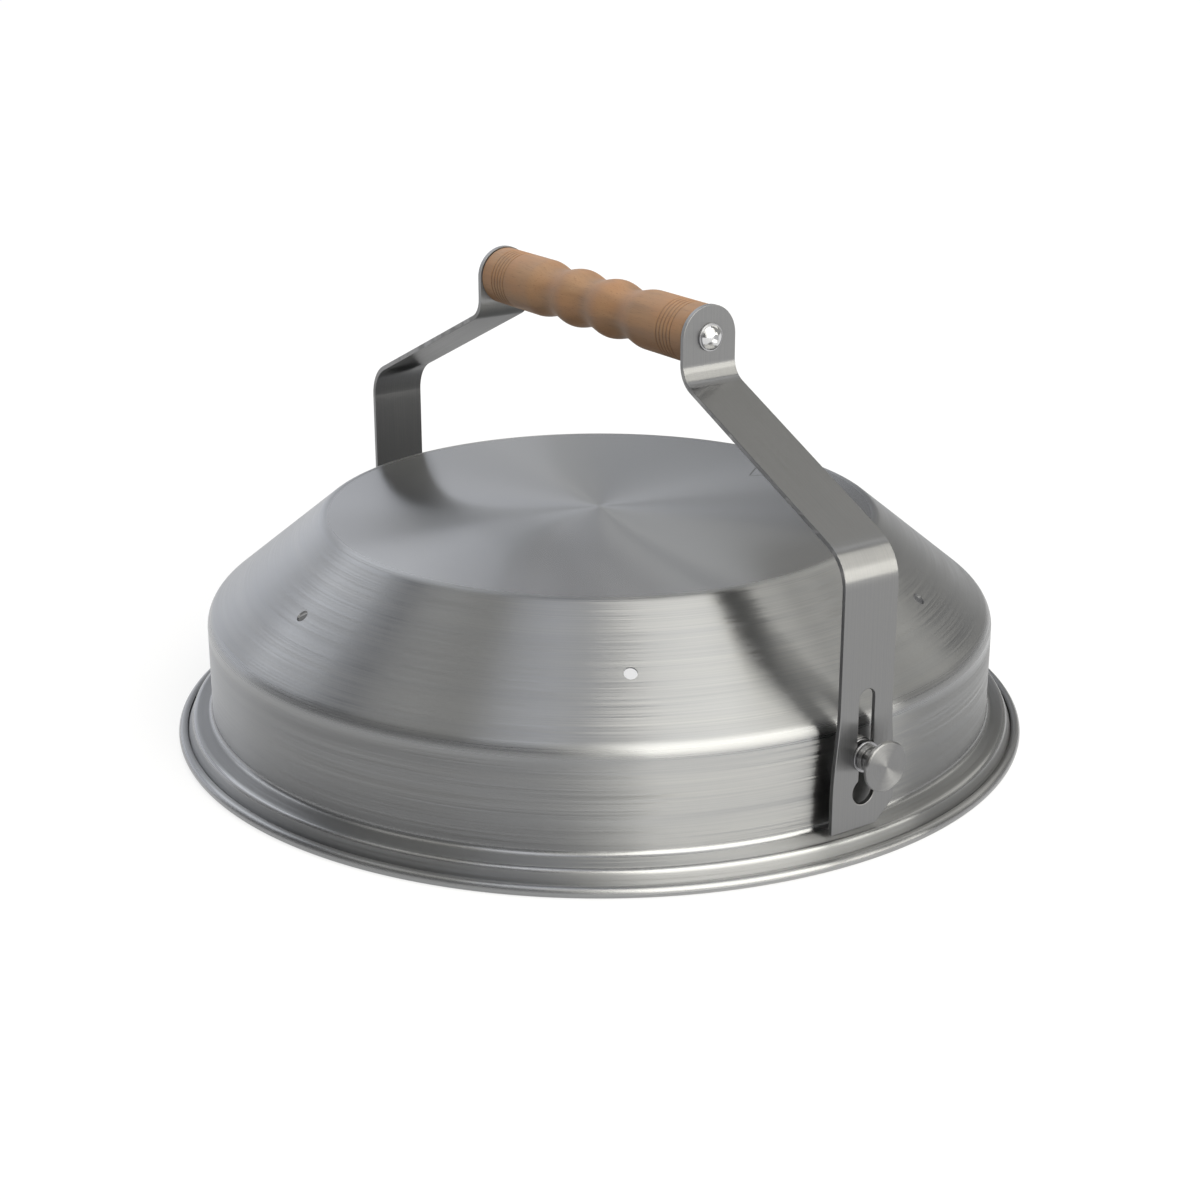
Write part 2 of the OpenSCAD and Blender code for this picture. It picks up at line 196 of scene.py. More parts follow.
def softbox(name, azimuth, elevation, distance, width, height, level, colour):
    """A flat lamp on a sphere round the dome, aimed at its middle."""
    lamp = bpy.data.lights.new(name, "AREA")
    lamp.shape = "RECTANGLE"
    lamp.size = width
    lamp.size_y = height
    # The power of a flat lamp is its level times its area times pi.
    lamp.energy = level * pi * width * height
    lamp.color = linear(colour)[:3]
    stand = bpy.data.objects.new(name, lamp)
    a, e = radians(azimuth), radians(elevation)
    stand.location = AIM + distance * Vector((cos(a) * cos(e), sin(a) * cos(e), sin(e)))
    stand.rotation_euler = (AIM - stand.location).to_track_quat("-Z", "Y").to_euler()
    bpy.context.collection.objects.link(stand)
    return stand


def plain_room():
    """A grey world of one level all round."""
    world = bpy.data.worlds.new("room")
    world.use_nodes = True
    tree = world.node_tree
    tree.nodes.clear()
    grey = add(tree, "ShaderNodeBackground", {"Color": linear("ffffff"), "Strength": ROOM_LEVEL})
    add(tree, "ShaderNodeOutputWorld", {"Surface": grey})
    bpy.context.scene.world = world


plain_room()
for row in SOFTBOXES:
    softbox(*row)
bpy.context.scene.view_settings.view_transform = "Standard"
print("soft boxes:", [row[0] for row in SOFTBOXES])

# %% [markdown]
# Brushed stainless steel (1.4301, brushed with 180 grit) is covered with fine parallel
# scratches. A point of light spreads across the scratches and hardly along them, which is
# what makes fans on a turned disc and bands on a strip. The Principled shader does this with
# its anisotropy, as long as it knows which way the scratches run: the tangent. On turned
# pieces the scratches are rings round the lathe's axis, so the tangent is the axis crossed
# with the place.
#
# Every ring also gets a number, so that it can have its own shade. On a shell that number has
# to tell the flat top from the skirt, whose radius is the same all the way down, so it is the
# radius less the height along the axis.

# %% Rings round a lathe's axis
DOME_AXIS, DOME_CENTRE = (0, 0, 1), (0, 0, 0)


def lathe_rings(tree, axis, centre):
    """For each place: its ring's number in metres, the way out to it, and the way round."""
    place = add(tree, "ShaderNodeTexCoord").outputs["Object"]
    moved = add(tree, "ShaderNodeVectorMath", [place, centre], operation="SUBTRACT")
    flat = [0.0 if part else 1.0 for part in axis]
    out = add(tree, "ShaderNodeVectorMath", [moved, flat], operation="MULTIPLY")
    radius = add(tree, "ShaderNodeVectorMath", [out], operation="LENGTH").outputs["Value"]
    spoke = add(tree, "ShaderNodeVectorMath", [out], operation="NORMALIZE")
    along = add(tree, "ShaderNodeVectorMath", [moved, axis], operation="DOT_PRODUCT").outputs["Value"]
    depth = add(tree, "ShaderNodeMath", [along], operation="ABSOLUTE")
    ring = add(tree, "ShaderNodeMath", [radius, depth], operation="SUBTRACT")
    way_round = add(tree, "ShaderNodeVectorMath", [axis, out], operation="CROSS_PRODUCT")
    grain = add(tree, "ShaderNodeVectorTransform", [way_round], vector_type="VECTOR",
                convert_from="OBJECT", convert_to="WORLD")
    grain = add(tree, "ShaderNodeVectorMath", [grain], operation="NORMALIZE")
    return ring, spoke, grain


print("the dome's rings run round", DOME_AXIS)

# %% [markdown]
# The scratches themselves would be 0.02 mm wide, far too fine to show, so they are drawn
# coarser, at about half a millimetre: long thin streaks of a noise that is squeezed across
# the rings. No brush keeps to its line, so each streak also turns the way of the scratches by
# a few degrees, which frays the ends of the highlights. The dome's flat top is smoother than
# its cone, so all of this can be calmed on the rings inside an edge.

# %% Streaks, stray scratches and a calm middle
NOISE_LOW, NOISE_MIDDLE, NOISE_HIGH = 0.3, 0.5, 0.7  # a noise keeps near its middle
STRAY = 0.11  # sideways push of a scratch of length 1
CALM_SHARE = 0.12  # what is left of the noise on calm rings
CALM_FADE = 3 * MM


def streaks(tree, ring, spoke, pitch, run):
    """Noise in thin rings: pitch is the width of a streak, run how often it changes round."""
    across = add(tree, "ShaderNodeMath", [ring, pitch], operation="DIVIDE")
    around = add(tree, "ShaderNodeVectorMath", {0: spoke, "Scale": run}, operation="SCALE")
    feeds = {"Vector": around, "W": across, "Scale": 1.0, "Detail": 1.0}
    return add(tree, "ShaderNodeTexNoise", feeds, noise_dimensions="4D")


def stray_scratches(tree, grain, noise):
    """The way of the scratches, turned a little within the surface by a noise."""
    normal = add(tree, "ShaderNodeNewGeometry").outputs["Normal"]
    across = add(tree, "ShaderNodeVectorMath", [normal, grain], operation="CROSS_PRODUCT")
    lean = add(tree, "ShaderNodeMapRange", [noise, NOISE_LOW, NOISE_HIGH, -STRAY, STRAY])
    push = add(tree, "ShaderNodeVectorMath", {0: across, "Scale": lean}, operation="SCALE")
    return add(tree, "ShaderNodeVectorMath", [grain, push], operation="ADD")


def calmed(tree, noise, ring, edge):
    """A noise that fades towards its middle on the rings inside an edge."""
    share = add(tree, "ShaderNodeMapRange", [ring, edge - CALM_FADE, edge, CALM_SHARE, 1.0])
    off = add(tree, "ShaderNodeMath", [noise, NOISE_MIDDLE], operation="SUBTRACT")
    return add(tree, "ShaderNodeMath", [off, share, NOISE_MIDDLE], operation="MULTIPLY_ADD")


print("stray scratches lean by up to", round(degrees(STRAY), 1), "degrees")

# %% [markdown]
# One function makes every turned metal, from the dome to the screws. Fine streaks drive the
# roughness, a shallow relief and most of the shade. Broad ones, nine times as wide, vary the
# shade more slowly, as the pressure of the hand that held the brush did. The two tones are
# those of the metal seen head on, and the index of refraction stays at its default, as for
# any metal. A quarter turn of the anisotropy makes the light spread across the rings.

# %% Turned metal
UNEVEN = 0.05
BROADER, LONGER = 9, 3
BROAD_SHARE = 0.5
SHADE_LOW, SHADE_HIGH = 0.45, 1.05  # the sum of both noises keeps within these
QUARTER_TURN = 0.25
NOWHERE = -1.0  # lower than the number of any ring, so nothing is calmed


def turned_metal(name, dark, light, rough, anisotropy, axis, centre, pitch, run, groove,
                 uneven=UNEVEN, calm=NOWHERE):
    """Metal with rings round an axis: dark and light are the two tones of its streaks."""
    made, tree = new_material(name)
    ring, spoke, grain = lathe_rings(tree, axis, centre)
    fine = calmed(tree, streaks(tree, ring, spoke, pitch, run), ring, calm)
    broad = calmed(tree, streaks(tree, ring, spoke, BROADER * pitch, run / LONGER), ring, calm)
    shade = add(tree, "ShaderNodeMath", [broad, BROAD_SHARE, fine], operation="MULTIPLY_ADD")
    shade = add(tree, "ShaderNodeMapRange", [shade, SHADE_LOW, SHADE_HIGH])
    tone = add(tree, "ShaderNodeMix", {0: shade, FIRST: linear(dark), SECOND: linear(light)},
               data_type="RGBA")
    satin = add(tree, "ShaderNodeMapRange",
                [fine, NOISE_LOW, NOISE_HIGH, rough - uneven, rough + uneven])
    relief = add(tree, "ShaderNodeBump", {"Strength": 1.0, "Distance": groove, "Height": fine})
    body = add(tree, "ShaderNodeBsdfPrincipled", {
        "Base Color": tone.outputs[MIXED], "Roughness": satin, "Normal": relief,
        "Tangent": stray_scratches(tree, grain, fine), "Metallic": 1.0,
        "Anisotropic": anisotropy, "Anisotropic Rotation": QUARTER_TURN})
    add(tree, "ShaderNodeOutputMaterial", {"Surface": body})
    return made


print("broad streaks are", BROADER, "times as wide as fine ones")

# %% [markdown]
# Not all of a spun sheet is equally smooth. The flat top was clamped against the form, and the
# roller presses hardest in the bends, so both are brighter than the metal between them. Here
# bands of rings get a share of the roughness: less than 1 on the flat top, the bends and the
# bead, and more than 1 on the skirt, the ledge and the step under it. A band is found by the
# number of its rings, from -92 in the middle of the flat top to 176 on the bead.

# %% Burnished bands
BAND_FADE = 1.5


def burnish(steel, bands):
    """Scale the roughness in bands, each given as its middle and half width in mm and a share."""
    tree = steel.node_tree
    rough = tree.nodes["Principled BSDF"].inputs["Roughness"]
    source = rough.links[0].from_node
    ring = lathe_rings(tree, DOME_AXIS, DOME_CENTRE)[0]
    for middle, reach, share in bands:
        off = add(tree, "ShaderNodeMath", [ring, middle * MM], operation="SUBTRACT")
        off = add(tree, "ShaderNodeMath", [off], operation="ABSOLUTE")
        factor = add(tree, "ShaderNodeMapRange",
                     [off, (reach - BAND_FADE) * MM, reach * MM, share, 1.0])
        source = add(tree, "ShaderNodeMath", [source, factor], operation="MULTIPLY")
    tree.links.new(source.outputs[0], rough)


print("a burnished band fades out over", BAND_FADE, "mm")

# %% [markdown]
# A small triangle lies on the flat top, near its edge, and points to the middle. It is etched,
# so it is only a dark grey line in the steel, without depth. It is drawn in the material, as
# the places that lie close to one of the triangle's sides. Its two legs mirror each other, so
# a rule for the distance from its middle line draws them both.

# %% Etched triangle
ETCHED = "5a5a58"
LINE_CORE, LINE_REACH = 0.3, 0.6  # shares of the line's width where it is full and where it ends


def etch_triangle(steel, tip, length, half, line, height):
    """Darken a steel along the outline of a triangle above a height, its tip towards the axis."""
    tree = steel.node_tree
    skin = tree.nodes["Principled BSDF"].inputs["Base Color"]
    place = add(tree, "ShaderNodeTexCoord").outputs["Object"]
    x, y, z = add(tree, "ShaderNodeSeparateXYZ", [place]).outputs
    slope = atan2(half, length)
    aside = add(tree, "ShaderNodeMath", [x], operation="ABSOLUTE")
    along = add(tree, "ShaderNodeMath", [y, tip], operation="SUBTRACT")
    leg_x = add(tree, "ShaderNodeMath", [aside, cos(slope)], operation="MULTIPLY")
    leg_y = add(tree, "ShaderNodeMath", [along, sin(slope)], operation="MULTIPLY")
    from_leg = add(tree, "ShaderNodeMath", [leg_x, leg_y], operation="SUBTRACT")
    from_leg = add(tree, "ShaderNodeMath", [from_leg], operation="ABSOLUTE")
    from_base = add(tree, "ShaderNodeMath", [along, length], operation="SUBTRACT")
    from_base = add(tree, "ShaderNodeMath", [from_base], operation="ABSOLUTE")
    near = add(tree, "ShaderNodeMath", [from_leg, from_base], operation="MINIMUM")
    mark = add(tree, "ShaderNodeMapRange", [near, LINE_CORE * line, LINE_REACH * line, 1.0, 0.0])
    limits = [(aside, "LESS_THAN", half + line), (along, "LESS_THAN", length + line),
              (along, "GREATER_THAN", -line), (z, "GREATER_THAN", height)]
    for value, test, limit in limits:
        inside = add(tree, "ShaderNodeMath", [value, limit], operation=test)
        mark = add(tree, "ShaderNodeMath", [mark, inside], operation="MULTIPLY")
    bare = skin.links[0].from_socket
    tone = add(tree, "ShaderNodeMix", {0: mark, FIRST: bare, SECOND: linear(ETCHED)}, data_type="RGBA")
    tree.links.new(tone.outputs[MIXED], skin)


print("colour of the etched line:", ETCHED)

# %% [markdown]
# The dome is spun 1.4301 sheet, brushed on the lathe: to the eye a soft grey, with long
# streaks in its highlights and two faint fans of light on its flat top. Its anisotropy is
# full, since a brushed ring spreads light about ten times as far across as along.

# %% Spun steel of the dome
BANDS = [
    # middle of the band, half its width, share of the roughness
    (-35.0, 58.0, 0.7),  # flat top
    (113.7, 5.0, 0.88),  # shoulder
    (135.6, 17.0, 1.18),  # skirt
    (154.5, 2.6, 0.7),  # fillet under the skirt
    (159.8, 4.0, 1.5),  # ledge
    (165.1, 2.4, 0.7),  # bend at the ledge's edge
    (170.2, 3.8, 1.4),  # step down to the bead
    (176.2, 2.6, 0.75),  # bead
]
dome_steel = turned_metal("spun_stainless_steel", dark="8c8d8f", light="9b9b9b", rough=0.34,
                          anisotropy=1.0, axis=DOME_AXIS, centre=DOME_CENTRE, pitch=0.6 * MM,
                          run=1.6, groove=0.012 * MM, uneven=0.06, calm=24 * MM)
burnish(dome_steel, BANDS)
etch_triangle(dome_steel, tip=80.5 * MM, length=11.5 * MM, half=9 * MM, line=0.7 * MM, height=91.2 * MM)
print("dome metal:", dome_steel.name, "with", len(BANDS), "burnished bands")

# %% [markdown]
# The small hardware is turned or stamped, each piece round its own axis along X. Its tool
# marks are about a tenth of a millimetre apart, and are drawn two to five times as coarse.

# %% Metals of the small hardware
ALONG_X = (1, 0, 0)
PIVOT_Z = 39.3 * MM
GRIP_Z = 178.1 * MM
AT_PIVOT, AT_GRIP = (0, 0, PIVOT_Z), (0, 0, GRIP_Z)

# Faced on a lathe: the screws' discs show two opposite fans of light, as the flat top does.
knob_steel = turned_metal("turned_stainless_steel", dark="828283", light="8c8c8c", rough=0.34,
                          anisotropy=1.0, axis=ALONG_X, centre=AT_PIVOT, pitch=0.25 * MM,
                          run=1.5, groove=0.001 * MM)
# Stamped from rolled sheet: lighter, with a soft shine that hardly has a direction.
washer_steel = turned_metal("stamped_stainless_washer", dark="96969a", light="a8a8aa", rough=0.3,
                            anisotropy=0.3, axis=ALONG_X, centre=AT_PIVOT, pitch=0.4 * MM,
                            run=3.0, groove=0.001 * MM)
top_washer_steel = turned_metal("stamped_grip_washer", dark="96969a", light="a8a8aa", rough=0.3,
                                anisotropy=0.3, axis=ALONG_X, centre=AT_GRIP, pitch=0.4 * MM,
                                run=3.0, groove=0.001 * MM)
# Polished after turning: a small dark mirror with sharp white glints.
screw_steel = turned_metal("polished_screw_steel", dark="c4c4c6", light="d0d0d0", rough=0.12,
                           anisotropy=0.0, axis=ALONG_X, centre=AT_GRIP, pitch=0.5 * MM,
                           run=3.0, groove=0.0005 * MM)
# Turned from yellow brass bar: a warm metal, a little streaky.
brass = turned_metal("turned_brass", dark="b08a44", light="c49c54", rough=0.25,
                     anisotropy=0.4, axis=ALONG_X, centre=AT_GRIP, pitch=0.3 * MM,
                     run=2.0, groove=0.001 * MM)
small_metals = [knob_steel, washer_steel, top_washer_steel, screw_steel, brass]
print("small metals:", [metal.name for metal in small_metals])

# %% [markdown]
# The arms are cut from stainless strip that was brushed along its length before it was bent.
# Their scratches follow the strip round every bend, so light spreads across the strip, along
# Y. That makes the tangent one plain direction. To the eye the strip is a dull grey with a
# bright bar across each bend. Seen nearly edge on it is less of a mirror than clean metal, so
# its specular tint is less than white. The scratches are drawn half a millimetre apart, some
# twenty times as coarse as the real ones.

# %% Strip steel, brushed lengthwise
ACROSS_STRIP = (0, 1, 0)
EDGE_TINT = 0.7
STRIP_DETAIL = 2.0


def strip_steel(name, dark, light, rough, anisotropy, pitch, run, groove):
    """Steel with straight scratches along the strip, which lies in the XZ plane."""
    made, tree = new_material(name)
    place = add(tree, "ShaderNodeTexCoord").outputs["Object"]
    squeeze = (1 / run, 1 / pitch, 1 / run)
    squeezed = add(tree, "ShaderNodeVectorMath", [place, squeeze], operation="MULTIPLY")
    fine = add(tree, "ShaderNodeTexNoise", {"Vector": squeezed, "Scale": 1.0, "Detail": STRIP_DETAIL})
    shade = add(tree, "ShaderNodeMapRange", [fine, NOISE_LOW, NOISE_HIGH])
    tone = add(tree, "ShaderNodeMix", {0: shade, FIRST: linear(dark), SECOND: linear(light)},
               data_type="RGBA")
    satin = add(tree, "ShaderNodeMapRange",
                [fine, NOISE_LOW, NOISE_HIGH, rough - UNEVEN, rough + UNEVEN])
    relief = add(tree, "ShaderNodeBump", {"Strength": 1.0, "Distance": groove, "Height": fine})
    across = add(tree, "ShaderNodeVectorTransform", [ACROSS_STRIP], vector_type="VECTOR",
                 convert_from="OBJECT", convert_to="WORLD")
    body = add(tree, "ShaderNodeBsdfPrincipled", {
        "Base Color": tone.outputs[MIXED], "Roughness": satin, "Normal": relief,
        "Tangent": across, "Metallic": 1.0, "Anisotropic": anisotropy,
        "Specular Tint": (EDGE_TINT, EDGE_TINT, EDGE_TINT, 1.0)})
    add(tree, "ShaderNodeOutputMaterial", {"Surface": body})
    return made


arm_steel = strip_steel("brushed_stainless_strip", dark="868687", light="8d8d8d", rough=0.33,
                        anisotropy=1.0, pitch=0.5 * MM, run=40 * MM, groove=0.001 * MM)
print("strip metal:", arm_steel.name)

# %% [markdown]
# The grip is beech or a like hardwood, turned and oiled. Oil leaves a satin skin: a soft,
# wide gloss over brown wood. Light and dark bands run along the grip where the lathe cut
# through the wood's growth rings, warmer clouds lie over them, and short dark pores follow
# the fibres. Real pores are about a tenth of a millimetre wide, and are drawn three times as
# wide. The cut rings are painted darker: painted shade, where shade falls into the notches.
# The grip's mesh tells the material where they are, by an attribute named groove.

# %% Oiled wood
WOOD_DARK, WOOD_LIGHT, WOOD_WARM = "85664a", "9f7c5c", "a4764f"
# The second colour is painted shade for the ring grooves, where shade falls into the notches.
PORE_BROWN, GROOVE_SHADE = "5e4530", "4a3626"
BAND_LOW, BAND_HIGH = 0.35, 0.65
PORE_LOW, PORE_HIGH = 0.58, 0.7
WARM_SHARE, PORE_SHARE, GROOVE_SHADE_SHARE = 0.5, 0.35, 0.75
SATIN_LOW, SATIN_HIGH = 0.5, 0.62
PORE_RELIEF, PORE_DEPTH = 0.5, 0.05 * MM


def fibres(tree, length, width, detail):
    """Noise drawn out along X, as wood is along its fibres."""
    place = add(tree, "ShaderNodeTexCoord").outputs["Object"]
    squeeze = (1 / length, 1 / width, 1 / width)
    squeezed = add(tree, "ShaderNodeVectorMath", [place, squeeze], operation="MULTIPLY")
    return add(tree, "ShaderNodeTexNoise", {"Vector": squeezed, "Scale": 1.0, "Detail": detail})


def oiled_wood(name):
    """Brown hardwood whose grain runs along X."""
    made, tree = new_material(name)
    bands = fibres(tree, length=70 * MM, width=5 * MM, detail=3.0)
    clouds = fibres(tree, length=16 * MM, width=11 * MM, detail=1.0)
    pores = fibres(tree, length=5 * MM, width=0.35 * MM, detail=2.0)
    grooves = add(tree, "ShaderNodeAttribute", attribute_name="groove").outputs["Fac"]
    shade = add(tree, "ShaderNodeMapRange", [bands, BAND_LOW, BAND_HIGH])
    tone = add(tree, "ShaderNodeMix", {0: shade, FIRST: linear(WOOD_DARK), SECOND: linear(WOOD_LIGHT)},
               data_type="RGBA")
    warm = add(tree, "ShaderNodeMapRange", [clouds, BAND_LOW, BAND_HIGH, 0.0, WARM_SHARE])
    pore = add(tree, "ShaderNodeMapRange", [pores, PORE_LOW, PORE_HIGH, 0.0, PORE_SHARE])
    # Painted shade: the ring grooves are darkened by how far each point is into a groove.
    cut = add(tree, "ShaderNodeMath", [grooves, GROOVE_SHADE_SHARE], operation="MULTIPLY")
    for share, colour in ((warm, WOOD_WARM), (pore, PORE_BROWN), (cut, GROOVE_SHADE)):
        tone = add(tree, "ShaderNodeMix", {0: share, FIRST: tone.outputs[MIXED], SECOND: linear(colour)},
                   data_type="RGBA")
    satin = add(tree, "ShaderNodeMapRange", [bands, NOISE_LOW, NOISE_HIGH, SATIN_LOW, SATIN_HIGH])
    relief = add(tree, "ShaderNodeBump",
                 {"Strength": PORE_RELIEF, "Distance": PORE_DEPTH, "Height": pores})
    body = add(tree, "ShaderNodeBsdfPrincipled", {
        "Base Color": tone.outputs[MIXED], "Roughness": satin, "Normal": relief})
    add(tree, "ShaderNodeOutputMaterial", {"Surface": body})
    return made


wood = oiled_wood("oiled_beech")
print("wood:", wood.name)

# %% [markdown]
# The dome began as a flat disc. It was pressed over a wooden form while it turned on a lathe,
# so its section is one line turned round the axis: flat top, cone, upright skirt, a narrow
# ledge, and a rim rolled into a bead. That section can be turned in Blender in the same way.
# The CAD solid has a few flat bands in each bend, which would show as facets in polished
# steel, so the section is drawn again here with a point every five degrees of each bend.
#
# A path of straight lines comes first. Its corners are rounded, and its other face is the same
# path moved aside by the sheet's thickness.

# %% Paths with rounded corners
BEND_STEP = 5.0
# Points along a straight run, as shares of it. The outer two keep the bends' shading in the bends.
RUN_POINTS = (0.02, 0.2, 0.4, 0.6, 0.8, 0.98)


def arc(centre, r, start, end):
    """Points of an arc in degrees, both ends included."""
    count = max(2, round(abs(end - start) / BEND_STEP))
    turns = [radians(start + (end - start) * i / count) for i in range(count + 1)]
    return [centre + r * Vector((cos(turn), sin(turn))) for turn in turns]


def bend(a, b, c, r):
    """Arc that rounds the corner b on the way from a to c."""
    back, ahead = (a - b).normalized(), (c - b).normalized()
    half = acos(back.dot(ahead)) / 2
    centre = b + (back + ahead).normalized() * r / sin(half)
    start = b + back * r / tan(half) - centre
    turning = 1 if (b - a).cross(c - b) > 0 else -1
    first = degrees(atan2(start.y, start.x))
    return arc(centre, r, first, first + turning * (180 - 2 * degrees(half)))


def rounded(path, radii):
    """A path with its corners rounded, and points along its straight runs."""
    bends = [bend(*path[i:i + 3], r) for i, r in enumerate(radii)]
    stretches = [[path[0]]] + bends + [[path[-1]]]
    points = []
    for before, after in zip(stretches, stretches[1:]):
        points += before
        points += [before[-1].lerp(after[0], share) for share in RUN_POINTS]
    return points + [path[-1]]


def right_of(a, b):
    """Unit vector to the right of the way from a to b."""
    way = (b - a).normalized()
    return Vector((way.y, -way.x))


def beside(path, gap):
    """The path's other face, a distance to its right, with mitred corners."""
    rights = [right_of(a, b) for a, b in zip(path, path[1:])]
    rights = [rights[0]] + rights + [rights[-1]]
    mitres = [(a + b).normalized() for a, b in zip(rights, rights[1:])]
    return [p + m * gap / m.dot(r) for p, m, r in zip(path, mitres, rights)]


print("a quarter bend has", round(90 / BEND_STEP), "steps")

# %% [markdown]
# These are the dome's own sizes, in millimetres, the same as in the CAD model. Only the fillet
# under the skirt and the bend at the ledge's edge are 0.6 mm rounder than there, because
# bends in sheet have soft highlights. The rim ends in an open roll, with a narrow flat where
# it rests on the table.

# %% Section of the spun sheet
SHEET = 1.0
TOP_R, TOP_Z = 116.2, 91.7
SKIRT_R, SHOULDER_Z = 165.4, 51.7
LEDGE_Z, LEDGE_EDGE = 10.9, Vector((173.7, 8.57))
BEAD, BEAD_R, BEAD_FLAT = Vector((177.75, 2.15)), 2.25, 0.1
CURL_R = BEAD_R - SHEET
CURL_END = 490.0  # in degrees: about a fifth of a turn of the roll stays open
BENDS = (5.0, 8.0, 2.4, 2.0)  # shoulder, foot of the cone, foot of the skirt, ledge's edge


def curl_start():
    """Angle in degrees at which the sheet runs smoothly into the roll."""
    to_edge = LEDGE_EDGE - BEAD
    first = degrees(atan2(to_edge.y, to_edge.x) + acos(CURL_R / to_edge.length))
    return first + 360 if first < 0 else first


def inner_radii(corners):
    """Radius of each bend on the sheet's other face, which is one thickness more or less."""
    radii = []
    for a, b, c, r in zip(corners, corners[1:], corners[2:], BENDS):
        left = (b - a).cross(c - b) > 0
        radii.append(r + SHEET if left else r - SHEET)
    return radii


def dome_section():
    """Closed outline of the sheet, from the axis out along the top and back underneath."""
    first = curl_start()
    turn = radians(first)
    outer = [Vector((0, TOP_Z)), Vector((TOP_R, TOP_Z)), Vector((SKIRT_R, SHOULDER_Z)),
             Vector((SKIRT_R, LEDGE_Z)), LEDGE_EDGE, BEAD + CURL_R * Vector((cos(turn), sin(turn)))]
    inner = beside(outer, SHEET)
    flat = degrees(acos((BEAD_R - BEAD_FLAT) / BEAD_R))
    curl = arc(BEAD, CURL_R, first, CURL_END)
    roll = arc(BEAD, BEAD_R, first, 270 - flat) + arc(BEAD, BEAD_R, 270 + flat, CURL_END)
    above = rounded(outer, BENDS)[:-1] + curl
    below = rounded(inner, inner_radii(outer))[:-1] + roll
    return above + below[::-1]


section = dome_section()
print("points in the section:", len(section), "widest:", round(max(p.x for p in section), 2), "mm")

# %% [markdown]
# Now the section is turned round Z, as the lathe turned the sheet. Blender's Screw modifier
# could do that, with its double points on the axis merged afterwards. A few lines of Python
# do both at once: they lay out one ring after another, with a single point for a ring that
# lies on the axis, and give the closed mesh that the holes need.

# %% Turn the section into a shell
TURNS = 288
ON_AXIS = 1e-6


def point_outwards(mesh):
    """Turn every face of a closed mesh to the outside."""
    shape = bmesh.new()
    shape.from_mesh(mesh)
    bmesh.ops.recalc_face_normals(shape, faces=shape.faces)
    shape.to_mesh(mesh)
    shape.free()


def turned(name, outline, count):
    """Closed mesh of an outline turned round Z; points on the axis become single poles."""
    verts, rows = [], []
    for p in outline:
        steps = 1 if p.x < ON_AXIS else count
        rows.append([len(verts) + i % steps for i in range(count)])
        turns = [2 * pi * i / count for i in range(steps)]
        verts += [(p.x * MM * cos(turn), p.x * MM * sin(turn), p.y * MM) for turn in turns]
    faces = []
    for a, b in zip(rows, rows[1:] + rows[:1]):
        for i in range(count):
            k = (i + 1) % count
            face = list(dict.fromkeys((a[i], a[k], b[k], b[i])))
            if len(face) > 2:
                faces.append(face)
    mesh = bpy.data.meshes.new(name)
    mesh.from_pydata(verts, [], faces)
    point_outwards(mesh)
    return mesh


shell = turned("dome_shell", section, TURNS)
print("faces in the shell:", len(shell.polygons))

# %% [markdown]
# Six vents pierce the cone and two holes in the skirt take the pivot bosses. They repeat round
# the axis, which is work for Geometry Nodes: points on a circle, a cutter on each point, and
# one Boolean that takes them all away. The same tree makes both sets of holes, because their
# number, place, tilt and width are inputs.

# %% A tree that pierces a ring of holes
GEOMETRY, NUMBER, WHOLE = "NodeSocketGeometry", "NodeSocketFloat", "NodeSocketInt"
CUTTER_SIDES = 48


def new_tree(name, inputs):
    """A geometry tree with named inputs, and the sockets that give their values."""
    tree = bpy.data.node_groups.new(name, "GeometryNodeTree")
    for label, kind in inputs:
        tree.interface.new_socket(label, in_out="INPUT", socket_type=kind)
    tree.interface.new_socket("Geometry", in_out="OUTPUT", socket_type=GEOMETRY)
    return tree, add(tree, "NodeGroupInput").outputs


def piercing_tree():
    """A ring of round holes, all tilted alike, cut through the geometry."""
    tree, given = new_tree("ring_of_holes", [
        ("Geometry", GEOMETRY), ("Hole count", WHOLE), ("First turn", NUMBER),
        ("Ring radius", NUMBER), ("Ring height", NUMBER), ("Tilt", NUMBER),
        ("Hole diameter", NUMBER), ("Cutter length", NUMBER)])
    spots = add(tree, "GeometryNodePoints", {"Count": given["Hole count"]})
    number = add(tree, "GeometryNodeInputIndex")
    share = add(tree, "ShaderNodeMath", [number, given["Hole count"]], operation="DIVIDE")
    angle = add(tree, "ShaderNodeMath", [share, 2 * pi, given["First turn"]], operation="MULTIPLY_ADD")
    x = add(tree, "ShaderNodeMath", [angle], operation="COSINE")
    x = add(tree, "ShaderNodeMath", [x, given["Ring radius"]], operation="MULTIPLY")
    y = add(tree, "ShaderNodeMath", [angle], operation="SINE")
    y = add(tree, "ShaderNodeMath", [y, given["Ring radius"]], operation="MULTIPLY")
    place = add(tree, "ShaderNodeCombineXYZ", [x, y, given["Ring height"]])
    ringed = add(tree, "GeometryNodeSetPosition", {"Geometry": spots, "Position": place})
    turn = add(tree, "ShaderNodeCombineXYZ", {"Y": given["Tilt"], "Z": angle})
    radius = add(tree, "ShaderNodeMath", [given["Hole diameter"], 2.0], operation="DIVIDE")
    punch = add(tree, "GeometryNodeMeshCylinder",
                {"Vertices": CUTTER_SIDES, "Radius": radius, "Depth": given["Cutter length"]})
    punches = add(tree, "GeometryNodeInstanceOnPoints",
                  {"Points": ringed, "Instance": punch, "Rotation": turn})
    punches = add(tree, "GeometryNodeRealizeInstances", [punches])
    pierced = add(tree, "GeometryNodeMeshBoolean", [given["Geometry"], punches],
                  operation="DIFFERENCE", solver="EXACT")
    whole = add(tree, "GeometryNodeRealizeInstances", [pierced])
    finish = add(tree, "GeometryNodeSetMaterial", {"Geometry": whole, "Material": dome_steel})
    add(tree, "NodeGroupOutput", [finish])
    return tree


piercing = piercing_tree()
print("inputs of the tree:", [item.name for item in piercing.interface.items_tree])

